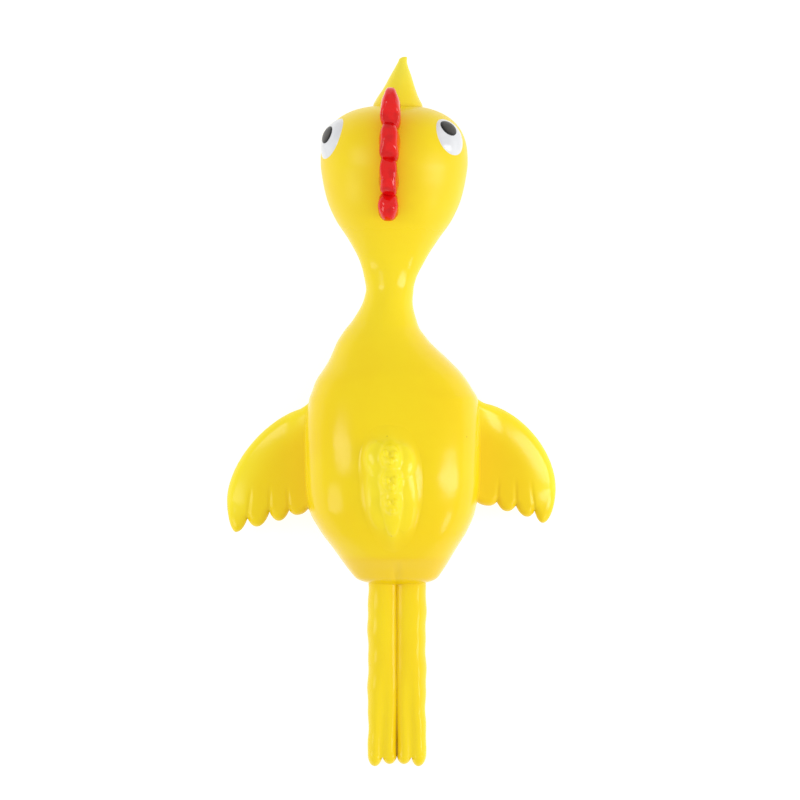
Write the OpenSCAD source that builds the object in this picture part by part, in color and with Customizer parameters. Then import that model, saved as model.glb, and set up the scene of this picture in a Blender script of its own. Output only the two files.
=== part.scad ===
// Stretchy rubber chicken with a finger pocket, lying on its belly.
// +Y runs from the toes to the beak, +Z from the belly to the back, +X to the bird's right.
// The origin is under the middle of the whole bird, on the surface that it lies on.

/* [Torso] */
// Length from the rear face to the shoulder face
torso_l = 39.6; // [34:0.1:48]
// Width across the widest part
torso_w = 28.5; // [23:0.1:36]
// Height before the belly is flattened
torso_h = 24.8; // [21:0.1:30]
// Depth taken off the belly, where it rests flat
belly_flat = 0.8; // [0.3:0.1:1.5]

/* [Neck] */
// Diameter at the waist of the neck
neck_d = 7.9; // [6:0.1:9.6]
// Length between the sideways bend and the nodding bend
neck_l = 11.7; // [9.5:0.1:16]
// Furthest sideways bend
neck_sway = 45; // [30:1:50]
// Furthest nod, up or down
neck_nod = 50; // [30:1:55]

/* [Head] */
// Length from the nodding bend to the face
head_l = 23.4; // [20:0.1:28.5]
// Width across the widest part
head_w = 23.9; // [20:0.1:28.8]
// Height at the widest part
head_h = 22; // [19:0.1:26.5]
// Diameter of the finger pocket
pocket_d = 13.6; // [10:0.1:15]
// Height of the pocket's ceiling above the surface the bird lies on
pocket_top = 16.5; // [12:0.1:18]

/* [Comb, eyes and beak] */
// Thickness of the comb
comb_t = 3.4; // [2.4:0.1:4.4]
// Radius of the comb's largest lobe, above the beak
comb_lobe_r = 3.1; // [2.5:0.1:3.8]
// Diameter of an eye
eye_d = 6.8; // [5.4:0.1:8.2]
// Diameter of a pupil
pupil_d = 2.8; // [2.2:0.1:3.4]
// Height that an eye stands out of the head
eye_rise = 1.2; // [0.8:0.1:1.5]
// Length of the upper beak in front of the face
beak_l = 8.1; // [6:0.1:10]
// Width of the beak at the face
beak_w = 8.2; // [6.4:0.1:10]
// How far the upper beak reaches past the lower one
overbite = 1.2; // [0:0.1:2]

/* [Wings] */
// Distance from the hinge line to the outer edge
wing_l = 13.45; // [10.5:0.1:16.2]
// Length of the wing's root along the torso
wing_root = 16.3; // [13:0.1:19.6]
// Thickness of a wing
wing_t = 2.2; // [1.6:0.1:2.7]
// Height of the hinge line
wing_z = 8.6; // [6.5:0.1:10.5]
// Downward slope of a wing at rest
wing_droop = 12; // [0:1:20]

/* [Tail] */
// Width of the tail tuft
tail_w = 9; // [7:0.1:11]
// Length of the tail tuft along the back
tail_l = 18.6; // [15:0.1:21]
// Radius of the tallest of the three tufts on its crest
tuft_r = 2.5; // [2:0.1:3]
// Radius of the feathers beside the tufts
feather_r = 1.7; // [1.4:0.1:1.9]
// Slope of the back under the tail
tail_pitch = 8; // [4:1:12]

/* [Legs] */
// Diameter of a leg
leg_d = 4.6; // [3.6:0.1:5.2]
// Length of the moving leg from the hip bend to the ankle bend
leg_l = 14.8; // [12:0.1:18]
// Length of the foot from the ankle bend to the toe tips
foot_l = 12.9; // [10.5:0.1:15.6]
// Height of the hip bend
hip_z = 9; // [7.5:0.1:11]
// Furthest swing of a leg
leg_swing = 60; // [40:1:70]
// Furthest flex of a foot
foot_flex = 45; // [30:1:60]

/* [Fits] */
// Clearance between pieces that move against each other
gap = 0.3; // [0.2:0.05:0.35]

/* [Hidden] */

$fn = 48;
sides = 36;          // points around a lofted section
far = 60;            // longer than any cut needs
yellow = "#F2D52E";
pale_yellow = "#F5DF5A";
red = "#D8261E";

// Shares of the torso's half width, from the rear face (0) to the shoulder face (1)
TORSO_PROFILE = [
    [0, 0.36], [0.02, 0.43], [0.061, 0.53], [0.184, 0.775], [0.308, 0.94], [0.429, 0.988],
    [0.593, 1], [0.717, 0.994], [0.799, 0.934], [0.881, 0.78], [0.963, 0.598], [1, 0.525]
];
// Shares of the tail's half width, from its rear tip (0) to its front end (1)
TAIL_PROFILE = [[0, 0.34], [0.2, 0.5], [0.45, 0.93], [0.6, 1], [0.85, 0.9], [0.95, 0.66], [1, 0.4]];
// Shares of the beak's half width, from its root (0) to its tip (1)
BEAK_PROFILE = [[0, 1], [0.3, 0.83], [0.6, 0.6], [0.85, 0.32], [0.95, 0.17], [1, 0.05]];
// Shares of the head's half width, from the nodding bend (0) to the widest place
HEAD_PROFILE = [[0.09, 0.66], [0.21, 0.796], [0.35, 0.905], [0.487, 0.966], [0.59, 1]];
head_widest = 0.59;   // where the head is widest, as a share of its length
brow_power = 2.6;     // roundness of the face
wing_power = 1.65;    // roundness of a wing's leading edge
feathers = 4;         // feather tips on one wing
groove_r = 0.4;       // radius of the grooves between them

// Heights and radii that several pieces share
axis_z = torso_h / 2 - belly_flat;
neck_r = neck_d / 2;
leg_r = leg_d / 2;
leg_x = leg_r + gap / 2;
bead_r = wing_t / 2 + 0.3;
neck_dish = neck_r * sin(neck_sway) + gap;
nape_dish = neck_r * sin(neck_nod) + gap;
hip_dish = leg_r * sin(leg_swing) + gap;
ankle_dish = leg_r * sin(foot_flex) + gap;

// The bird's length is the chain of its pieces, and its middle is at the origin
toe_r = leg_r / 2;
leg_reach = leg_l + foot_l;
leg_droop = asin((hip_z - toe_r) / (leg_reach - toe_r));
leg_run = (leg_reach - toe_r) * cos(leg_droop) + toe_r;
total_l = leg_run + hip_dish + torso_l + neck_dish + neck_l + head_l + beak_l;
hip_y = leg_run - total_l / 2;
rear_y = hip_y + hip_dish;
shoulder_y = rear_y + torso_l;
sway_y = shoulder_y + neck_dish;
nod_y = sway_y + neck_l;
face_y = nod_y + head_l;
crown_y = nod_y + head_widest * head_l;
pocket_y = crown_y - 0.6;
nape_y = nod_y + 0.09 * head_l;
wing_y = rear_y + 0.53 * torso_l;
tail_y = rear_y + 0.41 * torso_l;
mouth_z = axis_z - 0.6;

// Cubic curve through [place, value] pairs, whose slope at each pair is that of its neighbours
function span_at(pairs, t, i = 0) =
    (i >= len(pairs) - 2 || t < pairs[i + 1][0]) ? i : span_at(pairs, t, i + 1);
function slope_at(pairs, i) =
    let (a = max(i - 1, 0), b = min(i + 1, len(pairs) - 1))
    (pairs[b][1] - pairs[a][1]) / (pairs[b][0] - pairs[a][0]);
function curve(pairs, t) =
    let (i = span_at(pairs, t), p = pairs[i], q = pairs[i + 1], h = q[0] - p[0], u = (t - p[0]) / h)
    (1 + 2 * u) * pow(1 - u, 2) * p[1] + u * pow(1 - u, 2) * h * slope_at(pairs, i)
    + u * u * (3 - 2 * u) * q[1] + u * u * (u - 1) * h * slope_at(pairs, i + 1);

// Shares of the half width along the torso and along the head
function torso_share(y) = curve(TORSO_PROFILE, (y - rear_y) / torso_l);
function head_share(y) =
    let (t = (y - nod_y) / head_l)
    t < head_widest ? curve(HEAD_PROFILE, t)
    : pow(1 - pow((t - head_widest) / (1 - head_widest), brow_power), 1 / brow_power);

// Height of the back and half width of the torso at a place along it
function back_z(y) = axis_z + torso_share(y) * torso_h / 2;
function flank_x(y, z) =
    let (s = torso_share(y), up = (z - axis_z) / (s * torso_h / 2))
    s * torso_w / 2 * sqrt(max(0, 1 - up * up));

// A closed skin through sections [y, half width, half height, middle z]
module loft(sections) {
    count = len(sections);
    points = [
        for (s = sections) for (i = [0 : sides - 1])
            let (a = 360 * i / sides) [s[1] * cos(a), s[0], s[3] + s[2] * sin(a)]
    ];
    walls = [
        for (k = [0 : count - 2]) for (i = [0 : sides - 1])
            let (j = (i + 1) % sides, a = k * sides, b = a + sides)
            each [[a + i, b + i, b + j], [a + i, b + j, a + j]]
    ];
    ends = [
        [for (i = [0 : sides - 1]) i],
        [for (i = [0 : sides - 1]) (count - 1) * sides + sides - 1 - i]
    ];
    polyhedron(points, concat(ends, walls), convexity = 6);
}

// A rod along Y from one place to another
module rod(from, to, r) {
    translate([0, from, 0]) rotate([-90, 0, 0]) cylinder(r = r, h = to - from);
}

module mirrored(side) {
    if (side < 0) mirror([1, 0, 0]) children();
    else children();
}

// The torso's smooth outer form, before any seat is cut
module torso_form() {
    places = [0, 0.01, 0.025, 0.045, for (i = [1 : 24]) 0.045 + 0.955 * i / 24];
    loft([
        for (t = places)
            let (y = rear_y + t * torso_l, s = torso_share(y))
            [y, s * torso_w / 2, s * torso_h / 2, axis_z]
    ]);
}

// The head's smooth outer form
module head_form() {
    back = [for (i = [-1 : 12]) nape_y + (crown_y - nape_y) * i / 12];
    brow = [for (i = [1 : 11]) crown_y + (face_y - crown_y) * sin(i * 89 / 11)];
    difference() {
        loft([
            for (y = concat(back, brow))
                let (s = head_share(y)) [y, s * head_w / 2, s * head_h / 2, axis_z]
        ]);
        translate([-far / 2, nape_y - far, -far / 2]) cube(far);
    }
}

// Places things on a wing's hinge line, turned to the wing's slope at rest
module at_wing(side) {
    mirrored(side) translate([flank_x(wing_y, wing_z), wing_y, wing_z]) rotate([0, wing_droop, 0]) children();
}

// Places things on the tail's hinge line, which follows the slope of the back
module at_tail() {
    translate([0, tail_y, back_z(tail_y) - 1.2]) rotate([tail_pitch, 0, 0]) children();
}

// Places things on one leg, with its hip bend at the origin and the leg along -Y
module at_leg(side) {
    translate([side * leg_x, hip_y, hip_z]) rotate([leg_droop, 0, 0]) children();
}

// The dish in a fixed end that faces the ball of the next piece
module dish(ball_r) {
    sphere(r = ball_r + gap);
}

module torso() {
    color(yellow) difference() {
        torso_form();
        translate([-far / 2, -far, -far]) cube([far, 2 * far, far]);
        translate([0, sway_y, axis_z]) dish(neck_r);
        for (side = [-1, 1]) {
            at_wing(side) rod(-wing_root / 2 - gap, wing_root / 2 + gap, bead_r + gap);
            translate([side * leg_x, hip_y, hip_z]) dish(leg_r);
        }
        at_tail() tail_root(gap);
    }
}

// The neck's first stretch, which bends sideways on the shoulder
lower_end = sway_y + 0.38 * neck_l;
module neck_lower() {
    color(yellow) translate([0, 0, axis_z]) {
        translate([0, sway_y, 0]) sphere(r = neck_r);
        rod(sway_y, lower_end, neck_r);
    }
}

// The stretch that draws away when the neck is pulled
middle_end = lower_end + gap + 0.13 * neck_l;
module neck_middle() {
    color(yellow) translate([0, 0, axis_z]) rod(lower_end + gap, middle_end, neck_r);
}

// The stretch that twists, dished for the ball under the head
module neck_upper() {
    color(yellow) translate([0, 0, axis_z]) difference() {
        rod(middle_end + gap, nod_y - nape_dish, neck_r);
        translate([0, nod_y, 0]) dish(neck_r);
    }
}

// The last stretch of the neck, with the ball that nods, bonded to the back of the head
module nape() {
    color(yellow) difference() {
        translate([0, 0, axis_z]) {
            translate([0, nod_y, 0]) sphere(r = neck_r);
            rod(nod_y, nape_y, neck_r);
        }
        translate([-far / 2, nape_y, -far / 2]) cube(far);
    }
}

module head() {
    color(yellow) difference() {
        head_form();
        translate([0, pocket_y, -far + pocket_top]) cylinder(r = pocket_d / 2, h = far);
        comb_form();
        for (side = [-1, 1]) at_eye(side) translate([0, 0, -eye_seat]) cylinder(r = eye_d / 2, h = 5);
        beak_half(0, beak_l);
        beak_half(180, beak_l - overbite);
    }
}

// Height of the top of the head at a share of its length
function crown_z(t) = axis_z + head_share(nod_y + t * head_l) * head_h / 2;

// Four lobes that follow the crown, each [share of the head's length, share of the largest radius]
COMB_LOBES = [[0.3, 0.74], [0.51, 0.85], [0.745, 0.94], [0.995, 1]];
comb_seat = 0.9;      // how far a lobe's centre is above the head
forehead = 0.85;      // where the comb leaves the crown and overhangs the beak
function lobe_at(t) = [nod_y + t * head_l, crown_z(min(t, forehead)) + comb_seat];
module comb_form() {
    translate([-comb_t / 2, 0, 0]) rotate([90, 0, 90]) linear_extrude(comb_t) {
        for (lobe = COMB_LOBES) translate(lobe_at(lobe[0])) circle(r = lobe[1] * comb_lobe_r);
        for (i = [0 : 2])
            translate(lobe_at((COMB_LOBES[i][0] + COMB_LOBES[i + 1][0]) / 2) - [0, 1.5])
                circle(r = 0.85 * comb_lobe_r);
    }
}

module comb() {
    color(red) comb_form();
}

// An eye's place on the side of the head, and the sphere that its dome belongs to
eye_y = nod_y + 0.77 * head_l;
eye_up = 31;          // degrees above the horizontal
eye_fore = 25;        // degrees that an eye is turned to the front
eye_seat = 1.1;       // depth of the seat that an eye is bonded into
eye_ball_r = (pow(eye_d / 2, 2) + pow(eye_rise, 2)) / (2 * eye_rise);
pupil_stand = 0.12;   // how far a pupil stands out of the eye
// The pupils are off centre, each in its own way: [down, forward]
function pupil_at(side) = side < 0 ? [0.9, 0.3] : [0.5, 1.45];
module at_eye(side) {
    s = head_share(eye_y);
    mirrored(side)
        translate([s * head_w / 2 * cos(eye_up), eye_y, axis_z + s * head_h / 2 * sin(eye_up)])
        rotate([0, 0, eye_fore]) rotate([0, 90 - eye_up, 0]) children();
}

// A plug seated in the head, with a domed end that stands a little out of an eye's dome
module domed_plug(r, at, stand) {
    intersection() {
        translate([0, 0, eye_rise + stand - eye_ball_r]) sphere(r = eye_ball_r);
        translate([at[0], at[1], -eye_seat]) cylinder(r = r, h = 5);
    }
}

module eye(side) {
    color("white") at_eye(side) difference() {
        domed_plug(eye_d / 2, [0, 0], 0);
        translate(pupil_at(side)) translate([0, 0, -2]) cylinder(r = pupil_d / 2, h = 6);
    }
}

module pupil(side) {
    color("black") at_eye(side) domed_plug(pupil_d / 2, pupil_at(side), pupil_stand);
}

// Half of a round beak, turned to lie above (0) or below (180) the mouth line
beak_root = 2;        // length bonded into the face
module beak_half(turn, length) {
    full = length + beak_root;
    translate([0, face_y - beak_root, mouth_z]) rotate([-90, 0, 0]) rotate([0, 0, turn - 180])
        rotate_extrude(angle = 180) polygon(concat(
            [[0, 0]],
            [for (i = [0 : 10]) let (t = i / 10) [curve(BEAK_PROFILE, t) * beak_w / 2, t * full]],
            [[0, full]]
        ));
}

module upper_beak() {
    color(pale_yellow) beak_half(0, beak_l);
}

module lower_beak() {
    color(pale_yellow) beak_half(180, beak_l - overbite);
}

// Outline of a wing: x outward from the hinge line, y along the torso
pitch = (wing_l - 0.9) / feathers;
function lead_edge() = [
    for (i = [0 : 18])
        let (a = 90 - 5 * i)
        [0.2 + (wing_l - 0.2) * pow(max(cos(a), 0), 2 / wing_power),
         wing_root / 2 - 0.83 * wing_root + 0.83 * wing_root * pow(max(sin(a), 0), 2 / wing_power)]
];
function trail_edge() = [
    for (i = [feathers * 8 - 1 : -1 : 0])
        let (share = i / 8, lobe = share - floor(share), out = share / feathers,
             round_off = 1 - pow(abs(2 * lobe - 1), 2.4))
        [0.9 + pitch * share, -wing_root / 2 - 1.1 * out - (0.8 + 1.5 * out) * round_off]
];
module wing(side) {
    color(yellow) at_wing(side) difference() {
        union() {
            rod(-wing_root / 2, wing_root / 2, bead_r);
            translate([0, 0, -wing_t / 2]) linear_extrude(wing_t)
                polygon(concat([[0, -wing_root / 2], [0, wing_root / 2]], lead_edge(), trail_edge()));
        }
        for (i = [1 : feathers - 1])
            translate([0.9 + pitch * i, 0, wing_t / 2])
                rod(-far / 2, -wing_root / 2 + 3.8 + 0.5 * i, groove_r);
    }
}

// The tail's round root, which rolls in its seat on the back
module tail_root(extra) {
    steps = 12;
    rotate([-90, 0, 0]) rotate_extrude() polygon(concat(
        [[0, -tail_l / 2 - extra]],
        [for (i = [0 : steps]) let (t = i / steps)
            [curve(TAIL_PROFILE, t) * tail_w / 2 + extra, (t - 0.5) * (tail_l + 2 * extra)]],
        [[0, tail_l / 2 + extra]]
    ));
}

// Three tufts step down along the crest: [share of the tail's length, share of the radius]
TUFTS = [[0.79, 1], [0.55, 0.92], [0.33, 0.8]];
module tufts() {
    for (tuft = TUFTS)
        translate([0, (tuft[0] - 0.5) * tail_l, tail_w / 2 - 1.2 + 1.6 * tuft[0]])
            sphere(r = tuft[1] * tuft_r);
}

module tail() {
    color(yellow) at_tail() {
        tail_root(0);
        tufts();
    }
}

// Two overlapping feathers on one side of the tuft, bonded to its root, high enough to clear the back
module tail_feathers(side) {
    color(yellow) at_tail() difference() {
        for (t = [0.58, 0.74])
            translate([side * 0.51 * tail_w / 2, (t - 0.5) * tail_l, 0.67 * tail_w / 2])
                sphere(r = feather_r);
        tail_root(0);
        tufts();
    }
}

// Thigh, shank and foot of one leg, from the hip bend to the toes
thigh_end = 0.44 * leg_l;
toe_spread = 0.9;     // the two toes of a foot are joined along their middle
shank_end = leg_l - ankle_dish;
module thigh(side) {
    color(yellow) at_leg(side) {
        sphere(r = leg_r);
        rod(-thigh_end, 0, leg_r);
    }
}

module shank(side) {
    color(yellow) at_leg(side) difference() {
        rod(-shank_end, -thigh_end - gap, leg_r);
        translate([0, -leg_l, 0]) dish(leg_r);
    }
}

module foot(side) {
    toe_end = leg_l + foot_l - toe_r;
    color(yellow) at_leg(side) {
        translate([0, -leg_l, 0]) sphere(r = leg_r);
        rod(-leg_l - 0.3 * foot_l, -leg_l, leg_r);
        for (s = [-1, 1]) translate([s * toe_spread * toe_r, 0, 0]) {
            rod(-toe_end, -leg_l, toe_r);
            translate([0, -toe_end, 0]) sphere(r = toe_r);
        }
    }
}

torso();
neck_lower();
neck_middle();
neck_upper();
nape();
head();
comb();
eye(-1);  // left_eye
eye(1);  // right_eye
pupil(-1);  // left_pupil
pupil(1);  // right_pupil
upper_beak();
lower_beak();
wing(-1);  // left_wing
wing(1);  // right_wing
tail();
tail_feathers(-1);  // left_tail_feathers
tail_feathers(1);  // right_tail_feathers
thigh(-1);  // left_thigh
thigh(1);  // right_thigh
shank(-1);  // left_shank
shank(1);  // right_shank
foot(-1);  // left_foot
foot(1);  // right_foot
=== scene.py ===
"""Looks of the stretchy rubber chicken: one glossy yellow moulding with a painted comb and eyes.

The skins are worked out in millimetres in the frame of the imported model: +Y runs from the toes to the
beak, +Z from the belly to the back and +X to the bird's right. The moulding is divided only where one
flexing place ends and the next begins, and neighbouring skins share their rims and their shading there.
"""

import logging
import math
from dataclasses import dataclass
from enum import Enum
from typing import Callable, Sequence

import bpy
import numpy as np
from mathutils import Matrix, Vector


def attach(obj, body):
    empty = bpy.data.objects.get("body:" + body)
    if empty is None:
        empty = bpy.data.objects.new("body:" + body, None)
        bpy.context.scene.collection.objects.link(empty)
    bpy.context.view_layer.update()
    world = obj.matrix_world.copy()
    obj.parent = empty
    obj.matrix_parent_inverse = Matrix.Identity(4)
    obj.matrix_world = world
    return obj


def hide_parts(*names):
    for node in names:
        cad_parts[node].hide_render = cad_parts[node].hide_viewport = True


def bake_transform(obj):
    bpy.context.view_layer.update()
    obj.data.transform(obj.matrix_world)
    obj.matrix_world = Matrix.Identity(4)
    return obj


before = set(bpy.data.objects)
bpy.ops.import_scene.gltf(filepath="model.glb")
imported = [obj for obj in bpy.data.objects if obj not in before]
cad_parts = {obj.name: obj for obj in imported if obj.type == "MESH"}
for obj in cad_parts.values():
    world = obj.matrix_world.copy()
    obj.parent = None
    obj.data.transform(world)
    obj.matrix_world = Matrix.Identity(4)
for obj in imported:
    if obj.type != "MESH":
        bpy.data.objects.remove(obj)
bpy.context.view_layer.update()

MM = 0.001
LOG = logging.getLogger("rubber_chicken")
Array = np.ndarray
Object = bpy.types.Object
Material = bpy.types.Material
Pairs = Sequence[tuple[float, float]]
Point = tuple[float, float, float]
Colour = tuple[float, float, float]
Measure = Callable[[Array], Array]


# ---- curves


def flow(pairs: Pairs, at: Array) -> Array:
    """Smooth curve through pairs of (place, value), held at its end values beyond them.

    Each span is a cubic, and its end slopes are the harmonic means of the spans' own slopes, so the
    curve never swings past its pairs.

    Args:
        pairs: (place, value) pairs in rising order of place.
        at: places to read the curve at.

    Returns:
        The values at those places.
    """
    x, y = np.array(pairs, float).T
    step = np.diff(x)
    rise = np.diff(y) / step
    same = rise[:-1] * rise[1:] > 0
    slope = np.zeros_like(x)
    slope[1:-1] = np.where(same, 2 * rise[:-1] * rise[1:] / np.where(same, rise[:-1] + rise[1:], 1), 0)
    slope[0], slope[-1] = rise[0], rise[-1]
    at = np.clip(at, x[0], x[-1])
    i = np.clip(np.searchsorted(x, at, side="right") - 1, 0, len(x) - 2)
    u, h = (at - x[i]) / step[i], step[i]
    return (
        (1 + 2 * u) * (1 - u) ** 2 * y[i]
        + u * (1 - u) ** 2 * h * slope[i]
        + u * u * (3 - 2 * u) * y[i + 1]
        + u * u * (u - 1) * h * slope[i + 1]
    )


def ease(t: Array) -> Array:
    """Smooth step of t from 0 at 0 to 1 at 1: 3t^2 - 2t^3."""
    t = np.clip(t, 0, 1)
    return t * t * (3 - 2 * t)


def bell(t: Array) -> Array:
    """Bell curve of t, 1 at 0 and nearly 0 beyond 2: exp(-t^2)."""
    return np.exp(-t * t)


def power(value: Array, exponent: float) -> Array:
    """Signed power: the sign of the value times its size to the exponent."""
    return np.sign(value) * np.abs(value) ** exponent


def smooth_top(heights: Sequence[Array], soft: float) -> Array:
    """Highest of several heights with rounded inner corners: soft * log(sum(exp(height / soft))).

    Args:
        heights: arrays of one shape.
        soft: radius of the rounding, in mm.

    Returns:
        The combined height.
    """
    stack = np.stack(heights) / soft
    top = stack.max(0)
    return soft * (top + np.log(np.exp(stack - top).sum(0)))


def turns(count: int) -> Array:
    """Evenly spaced angles round one turn, in radians."""
    return np.linspace(0, 2 * np.pi, count, endpoint=False)


def xyz(x: Array, y: Array, z: Array) -> Array:
    """Points from their three coordinates, each spread to the shape that they share."""
    return np.stack(np.broadcast_arrays(x, y, z), -1)


def metres(point: Point) -> Point:
    """A point in mm as one in metres."""
    return tuple(value * MM for value in point)


# ---- meshes


class End(Enum):
    """How the end of a skin is closed."""

    POLE = "smoothly, on one point"
    FLAT = "by a flat disc with a crisp rim"


FLAT_ENDS = (End.FLAT, End.FLAT)


def put(name: str, data: bpy.types.ID) -> Object:
    """A new object with that data, linked into the scene."""
    item = bpy.data.objects.new(name, data)
    bpy.context.scene.collection.objects.link(item)
    return item


def sharpen(piece: Object, degrees: float) -> Object:
    """Makes the edges crisp that bend by more than an angle, and hands the piece back."""
    piece.data.set_sharp_from_angle(angle=math.radians(degrees))
    return piece


def tube(
    name: str, rings: Array, ends: tuple[End, End] = FLAT_ENDS, poles: tuple[Array, Array] | None = None
) -> Object:
    """A closed skin through rings of points, in mm.

    Every two neighbouring rings are joined by quads, and each end by a fan to one point. If the volume
    comes out negative, all the faces are turned round, so that they point outwards.

    Args:
        name: name of the piece.
        rings: array of (ring, point on the ring, xyz).
        ends: how the first and the last ring are closed.
        poles: the two closing points; the rings' own middles if left out.

    Returns:
        The new object, at the origin.
    """
    count, around = rings.shape[:2]
    first, last = poles if poles is not None else (rings[0].mean(0), rings[-1].mean(0))
    points = np.vstack([rings.reshape(-1, 3), first, last]) * MM
    ring, spot = np.meshgrid(np.arange(count - 1), np.arange(around), indexing="ij")
    ring, spot = ring.ravel() * around, spot.ravel()
    beside = (spot + 1) % around
    quads = np.stack([ring + spot, ring + beside, ring + around + beside, ring + around + spot], 1)
    spot = np.arange(around)
    beside = (spot + 1) % around
    base, tip = (count - 1) * around, count * around
    start_fan = np.stack([beside, spot, np.full(around, tip)], 1)
    end_fan = np.stack([base + spot, base + beside, np.full(around, tip + 1)], 1)
    halves = np.vstack([quads[:, [0, 1, 2]], quads[:, [0, 2, 3]], start_fan, end_fan])
    a, b, c = (points[halves[:, k]] for k in range(3))
    if np.einsum("ij,ij->i", a, np.cross(b, c)).sum() < 0:
        quads, start_fan, end_fan = quads[:, ::-1], start_fan[:, ::-1], end_fan[:, ::-1]
    mesh = bpy.data.meshes.new(name)
    mesh.from_pydata(points, [], [*quads.tolist(), *start_fan.tolist(), *end_fan.tolist()])
    smooth = np.ones(len(mesh.polygons), bool)
    smooth[len(quads) :] = np.repeat([end is End.POLE for end in ends], around)
    mesh.polygons.foreach_set("use_smooth", smooth)
    return sharpen(put(name, mesh), 60)


def join_skins(name: str, parts: Sequence[Object], operation: str = "UNION") -> Object:
    """Joins closed skins into one closed skin, or cuts the others out of the first.

    Args:
        name: name of the piece that is left.
        parts: the skins; all but the first are used up.
        operation: UNION or DIFFERENCE.

    Returns:
        The first object, with the result as its mesh.
    """
    body = parts[0]
    for tool in parts[1:]:
        step = body.modifiers.new("join", "BOOLEAN")
        step.operation, step.solver, step.object = operation, "EXACT", tool
        shape = body.evaluated_get(bpy.context.evaluated_depsgraph_get())
        mesh = bpy.data.meshes.new_from_object(shape)
        body.modifiers.clear()
        body.data = mesh
        bpy.data.objects.remove(tool)
    body.name = body.data.name = name
    return body


def read(items: Sequence, key: str, kind: type, each: int = 1) -> Array:
    """One property of all the vertices, corners or faces of a mesh.

    Args:
        items: the mesh's vertices, loops or polygons.
        key: name of the property.
        kind: type of its numbers.
        each: how many numbers an item has.

    Returns:
        An array of (item, number).
    """
    numbers = np.zeros(len(items) * each, kind)
    items.foreach_get(key, numbers)
    return numbers.reshape(-1, each)


def mark(piece: Object, label: str, value: Measure) -> None:
    """Stores a number at every vertex of a piece, for its material to read.

    Args:
        piece: the piece.
        label: name of the attribute.
        value: gives the numbers from the vertices' places in mm.
    """
    numbers = value(read(piece.data.vertices, "co", np.float32, 3).astype(float) / MM)
    store = piece.data.attributes.new(label, "FLOAT", "POINT")
    store.data.foreach_set("value", numbers.astype(np.float32))


def pin_rims(piece: Object, rims: Sequence[float], normals: Measure) -> None:
    """Gives the endless skin's normals to the corners on flat rims, so that shading runs on over them.

    Args:
        piece: the skin.
        rims: the rims' places along Y, in mm.
        normals: gives unit normals of the endless skin at places in mm.
    """
    mesh = piece.data
    corner = read(mesh.loops, "vertex_index", np.int32)[:, 0]
    at = read(mesh.vertices, "co", np.float32, 3).astype(float)[corner] / MM
    facing = np.abs(read(mesh.polygons, "normal", np.float32, 3)[:, 1])
    lies_in_rim = np.repeat(facing, read(mesh.polygons, "loop_total", np.int32)[:, 0]) > 0.99
    on_rim = np.min([np.abs(at[:, 1] - rim) for rim in rims], axis=0) < 1e-3
    chosen = on_rim & ~lies_in_rim
    pinned = np.zeros_like(at)
    pinned[chosen] = normals(at[chosen])
    mesh.normals_split_custom_set(pinned.tolist())


# ---- materials


class Wire:
    """An output of a node, on which a number's formula is written as plain Python."""

    def __init__(self, bench: "Bench", socket: bpy.types.NodeSocket) -> None:
        """Wraps a socket of the bench's material."""
        self.bench, self.socket = bench, socket

    def _math(self, operation: str, first: "Wire | float", second: "Wire | float") -> "Wire":
        """One Math node on two values."""
        return self.bench.part("ShaderNodeMath", {"operation": operation}, {0: first, 1: second})

    def __add__(self, other: "Wire | float") -> "Wire":
        """This plus the other."""
        return self._math("ADD", self, other)

    def __sub__(self, other: "Wire | float") -> "Wire":
        """This less the other."""
        return self._math("SUBTRACT", self, other)

    def __rsub__(self, other: float) -> "Wire":
        """The other less this."""
        return self._math("SUBTRACT", other, self)

    def __mul__(self, other: "Wire | float") -> "Wire":
        """This times the other."""
        return self._math("MULTIPLY", self, other)

    __radd__ = __add__
    __rmul__ = __mul__

    def rise(self, low: float, high: float) -> "Wire":
        """0 where this is below low, 1 above high, and a smooth step in between."""
        limits = {"Value": self, "From Min": low, "From Max": high}
        return self.bench.part("ShaderNodeMapRange", {"interpolation_type": "SMOOTHSTEP"}, limits)


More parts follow.
